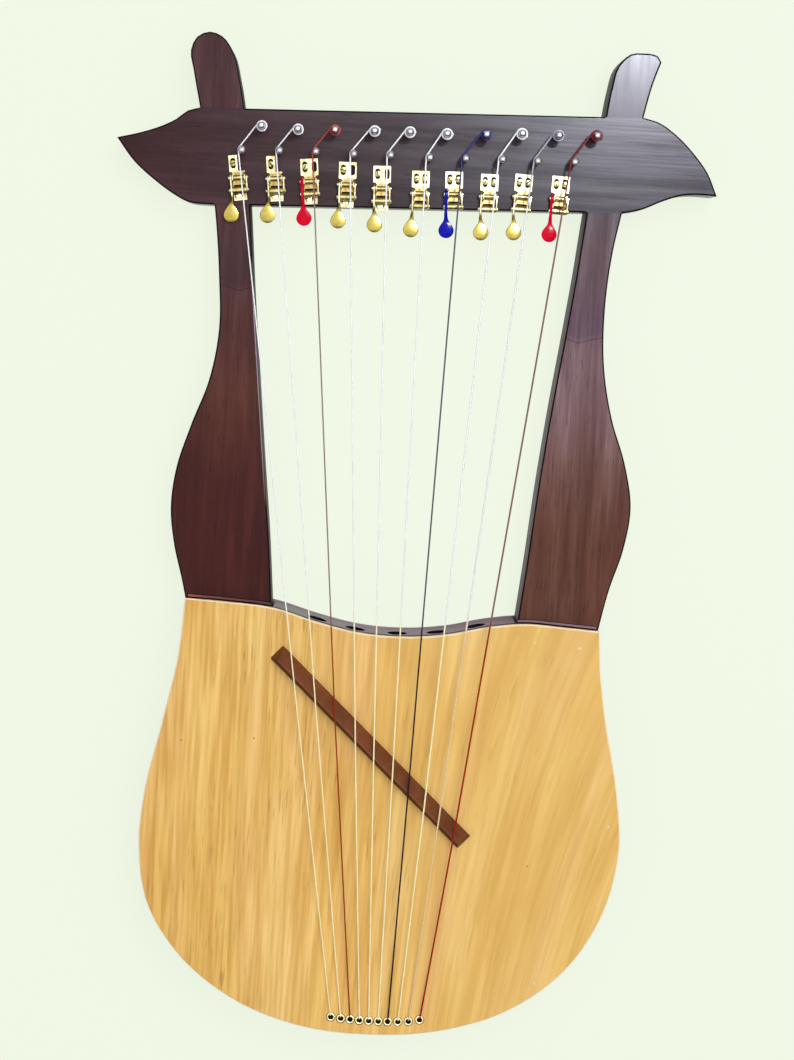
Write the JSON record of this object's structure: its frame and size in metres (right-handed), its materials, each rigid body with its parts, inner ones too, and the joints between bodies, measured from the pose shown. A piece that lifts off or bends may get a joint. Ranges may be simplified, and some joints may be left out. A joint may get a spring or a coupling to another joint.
{
  "type": "lyre harp",
  "caption": "Small lyre harp: a flat soundbox with two curved arms, a winged crossbar, a slanted bridge, plucked strings, tuning pins and a flip-up sharping lever for each string.",
  "frame": {"origin": "middle of the plan on the flat back that the instrument lies on", "axes": "+X across the instrument from the shortest string to the longest, +Y from the tail to the crossbar, +Z out of the soundboard"},
  "size_m": [0.4111, 0.6934, 0.058],
  "materials": {
    "rosewood": "gloss lacquer over a dark reddish brown stain",
    "stained_wood": "gloss lacquer over a dark grey-brown stain",
    "ash": "clear satin lacquer, straight grain",
    "inner_wood": "bare planed hardwood",
    "bridge_wood": "oiled hardwood",
    "brass": "polished",
    "plated_steel": "bright nickel plating",
    "white_string": "smooth nylon",
    "red_string": "smooth dyed nylon",
    "blue_string": "smooth dyed nylon",
    "clear_string": "smooth undyed nylon",
    "red_lever": "gloss enamel",
    "blue_lever": "gloss enamel"
  },
  "bodies": {
    "harp": {"soundboard": "ash", "back": "ash", "side_rim": "rosewood", "end_wall": "rosewood", "left_arm": "rosewood", "right_arm": "rosewood", "crossbar": "stained_wood", "bridge": "bridge_wood", "string_block": "inner_wood", "soundboard_brace": "inner_wood", "eyelet_1": "brass", "eyelet_2": "brass", "eyelet_3": "brass", "eyelet_4": "brass", "eyelet_5": "brass", "eyelet_6": "brass", "eyelet_7": "brass", "eyelet_8": "brass", "eyelet_9": "brass", "eyelet_10": "brass", "string_1": "white_string", "string_2": "white_string", "string_3": "red_string", "string_4": "white_string", "string_5": "white_string", "string_6": "white_string", "string_7": "blue_string", "string_8": "white_string", "string_9": "clear_string", "string_10": "red_string", "lever_bracket_1": "brass", "lever_bracket_2": "brass", "lever_bracket_3": "brass", "lever_bracket_4": "brass", "lever_bracket_5": "brass", "lever_bracket_6": "brass", "lever_bracket_7": "brass", "lever_bracket_8": "brass", "lever_bracket_9": "brass", "lever_bracket_10": "brass"},
    "tuning_pin_1": {"tuning_pin_1": "plated_steel"},
    "tuning_pin_2": {"tuning_pin_2": "plated_steel"},
    "tuning_pin_3": {"tuning_pin_3": "plated_steel"},
    "tuning_pin_4": {"tuning_pin_4": "plated_steel"},
    "tuning_pin_5": {"tuning_pin_5": "plated_steel"},
    "tuning_pin_6": {"tuning_pin_6": "plated_steel"},
    "tuning_pin_7": {"tuning_pin_7": "plated_steel"},
    "tuning_pin_8": {"tuning_pin_8": "plated_steel"},
    "tuning_pin_9": {"tuning_pin_9": "plated_steel"},
    "tuning_pin_10": {"tuning_pin_10": "plated_steel"},
    "lever_1": {"lever_handle_1": "brass"},
    "lever_2": {"lever_handle_2": "brass"},
    "lever_3": {"lever_handle_3": "red_lever"},
    "lever_4": {"lever_handle_4": "brass"},
    "lever_5": {"lever_handle_5": "brass"},
    "lever_6": {"lever_handle_6": "brass"},
    "lever_7": {"lever_handle_7": "blue_lever"},
    "lever_8": {"lever_handle_8": "brass"},
    "lever_9": {"lever_handle_9": "brass"},
    "lever_10": {"lever_handle_10": "red_lever"}
  },
  "joints": [
    {"name": "tuning_pin_1_turn", "type": "hinge", "parent": "harp", "child": "tuning_pin_1", "pos_m": [-0.107, 0.2813, 0.05], "axis": [0, 0, -1], "range_deg": [-900, 60]},
    {"name": "tuning_pin_2_turn", "type": "hinge", "parent": "harp", "child": "tuning_pin_2", "pos_m": [-0.0825, 0.2805, 0.05], "axis": [0, 0, -1], "range_deg": [-900, 60]},
    {"name": "tuning_pin_3_turn", "type": "hinge", "parent": "harp", "child": "tuning_pin_3", "pos_m": [-0.0576, 0.2814, 0.05], "axis": [0, 0, -1], "range_deg": [-900, 60]},
    {"name": "tuning_pin_4_turn", "type": "hinge", "parent": "harp", "child": "tuning_pin_4", "pos_m": [-0.031, 0.2823, 0.05], "axis": [0, 0, -1], "range_deg": [-900, 60]},
    {"name": "tuning_pin_5_turn", "type": "hinge", "parent": "harp", "child": "tuning_pin_5", "pos_m": [-0.0072, 0.283, 0.05], "axis": [0, 0, -1], "range_deg": [-900, 60]},
    {"name": "tuning_pin_6_turn", "type": "hinge", "parent": "harp", "child": "tuning_pin_6", "pos_m": [0.0178, 0.2832, 0.05], "axis": [0, 0, -1], "range_deg": [-900, 60]},
    {"name": "tuning_pin_7_turn", "type": "hinge", "parent": "harp", "child": "tuning_pin_7", "pos_m": [0.0442, 0.2843, 0.05], "axis": [0, 0, -1], "range_deg": [-900, 60]},
    {"name": "tuning_pin_8_turn", "type": "hinge", "parent": "harp", "child": "tuning_pin_8", "pos_m": [0.0682, 0.2863, 0.05], "axis": [0, 0, -1], "range_deg": [-900, 60]},
    {"name": "tuning_pin_9_turn", "type": "hinge", "parent": "harp", "child": "tuning_pin_9", "pos_m": [0.0929, 0.2866, 0.05], "axis": [0, 0, -1], "range_deg": [-900, 60]},
    {"name": "tuning_pin_10_turn", "type": "hinge", "parent": "harp", "child": "tuning_pin_10", "pos_m": [0.1186, 0.2879, 0.05], "axis": [0, 0, -1], "range_deg": [-900, 60]},
    {"name": "lever_1_flip", "type": "hinge", "parent": "harp", "child": "lever_1", "pos_m": [-0.1217, 0.2467, 0.036], "axis": [-0.991, -0.134, 0], "range_deg": [0, 92]},
    {"name": "lever_2_flip", "type": "hinge", "parent": "harp", "child": "lever_2", "pos_m": [-0.0964, 0.2475, 0.036], "axis": [-0.9951, -0.0993, 0], "range_deg": [0, 92]},
    {"name": "lever_3_flip", "type": "hinge", "parent": "harp", "child": "lever_3", "pos_m": [-0.0731, 0.2469, 0.036], "axis": [-0.9947, -0.1028, 0], "range_deg": [0, 92]},
    {"name": "lever_4_flip", "type": "hinge", "parent": "harp", "child": "lever_4", "pos_m": [-0.0476, 0.2462, 0.036], "axis": [-0.9996, -0.0279, 0], "range_deg": [0, 92]},
    {"name": "lever_5_flip", "type": "hinge", "parent": "harp", "child": "lever_5", "pos_m": [-0.0239, 0.245, 0.036], "axis": [-0.9992, -0.0401, 0], "range_deg": [0, 92]},
    {"name": "lever_6_flip", "type": "hinge", "parent": "harp", "child": "lever_6", "pos_m": [0.0025, 0.2432, 0.036], "axis": [-0.9996, -0.0297, 0], "range_deg": [0, 92]},
    {"name": "lever_7_flip", "type": "hinge", "parent": "harp", "child": "lever_7", "pos_m": [0.0254, 0.244, 0.036], "axis": [-0.9991, -0.0419, 0], "range_deg": [0, 92]},
    {"name": "lever_8_flip", "type": "hinge", "parent": "harp", "child": "lever_8", "pos_m": [0.0493, 0.2437, 0.036], "axis": [-1, -0.007, 0], "range_deg": [0, 92]},
    {"name": "lever_9_flip", "type": "hinge", "parent": "harp", "child": "lever_9", "pos_m": [0.0722, 0.2449, 0.036], "axis": [-0.9995, 0.0332, 0], "range_deg": [0, 92]},
    {"name": "lever_10_flip", "type": "hinge", "parent": "harp", "child": "lever_10", "pos_m": [0.0977, 0.2451, 0.036], "axis": [-0.9998, 0.0175, 0], "range_deg": [0, 92]}
  ]
}
